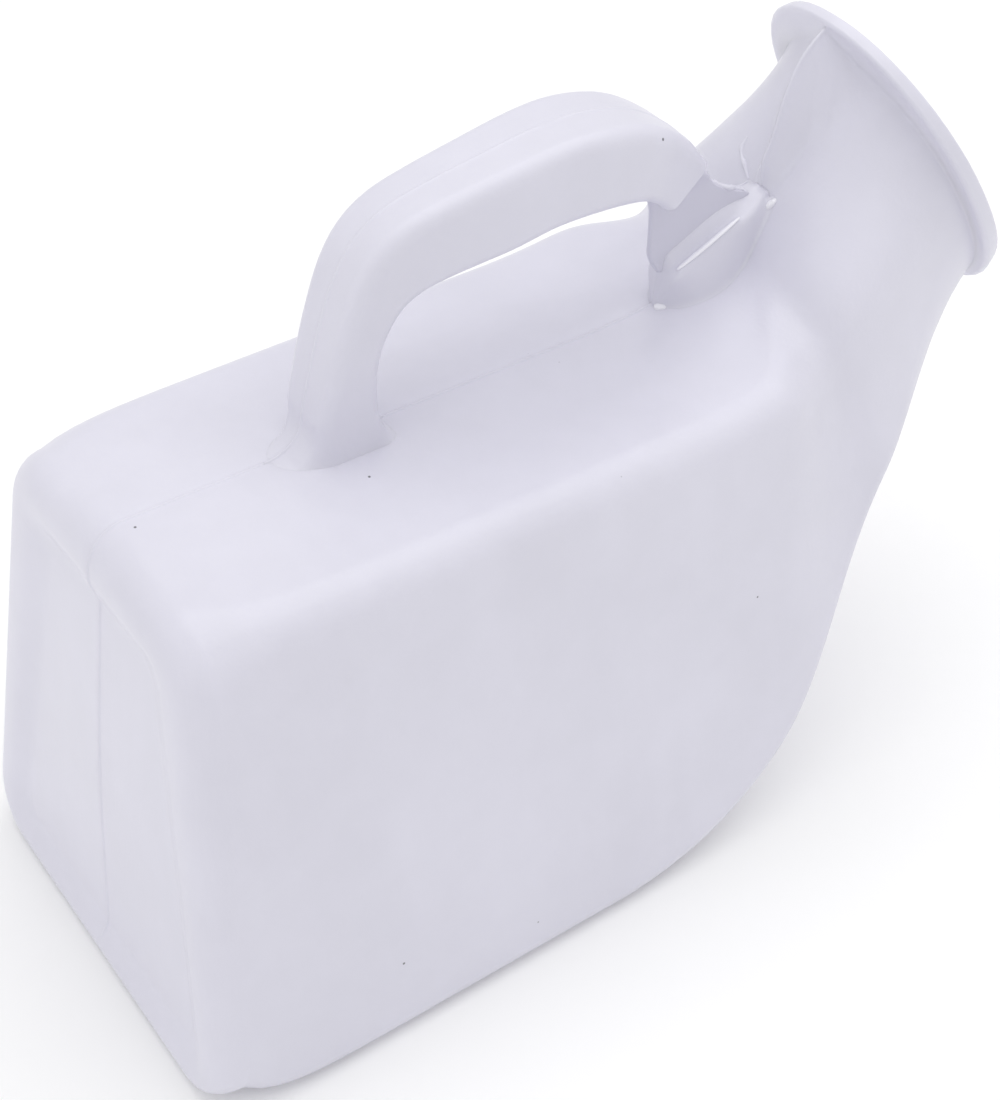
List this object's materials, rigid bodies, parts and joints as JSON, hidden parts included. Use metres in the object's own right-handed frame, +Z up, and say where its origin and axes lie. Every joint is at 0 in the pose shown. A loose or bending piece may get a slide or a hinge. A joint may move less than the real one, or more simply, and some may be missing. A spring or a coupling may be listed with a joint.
{
  "type": "urine bottle",
  "caption": "Milky blow-moulded urine bottle with a tapered flat-ended tank, a hollow top handle with a pinched front end, and an oval tilted mouth with a thick lip.",
  "frame": {"origin": "middle of the base of the object's box, on the surface that the bottle lies on", "axes": "+X from the flat end towards the mouth, +Z up through the handle, the mould's parting plane is Y = 0"},
  "size_m": [0.2214, 0.1066, 0.1583],
  "materials": {
    "milky_wall": "satin, slightly translucent milky polyethylene",
    "pinched_seam": "satin, trimmed seam of the same plastic"
  },
  "bodies": {
    "root": {"tank_wall": "milky_wall", "shoulder_wall": "milky_wall", "neck_wall": "milky_wall", "mouth_lip": "milky_wall", "end_rim": "milky_wall", "end_panel": "milky_wall", "handle_leg": "milky_wall", "handle_grip": "milky_wall", "handle_tip": "milky_wall", "pinch_web": "pinched_seam", "root_boss": "milky_wall", "neck_fin": "pinched_seam", "pinch_scar": "pinched_seam", "parting_ridge": "pinched_seam"}
  },
  "joints": []
}
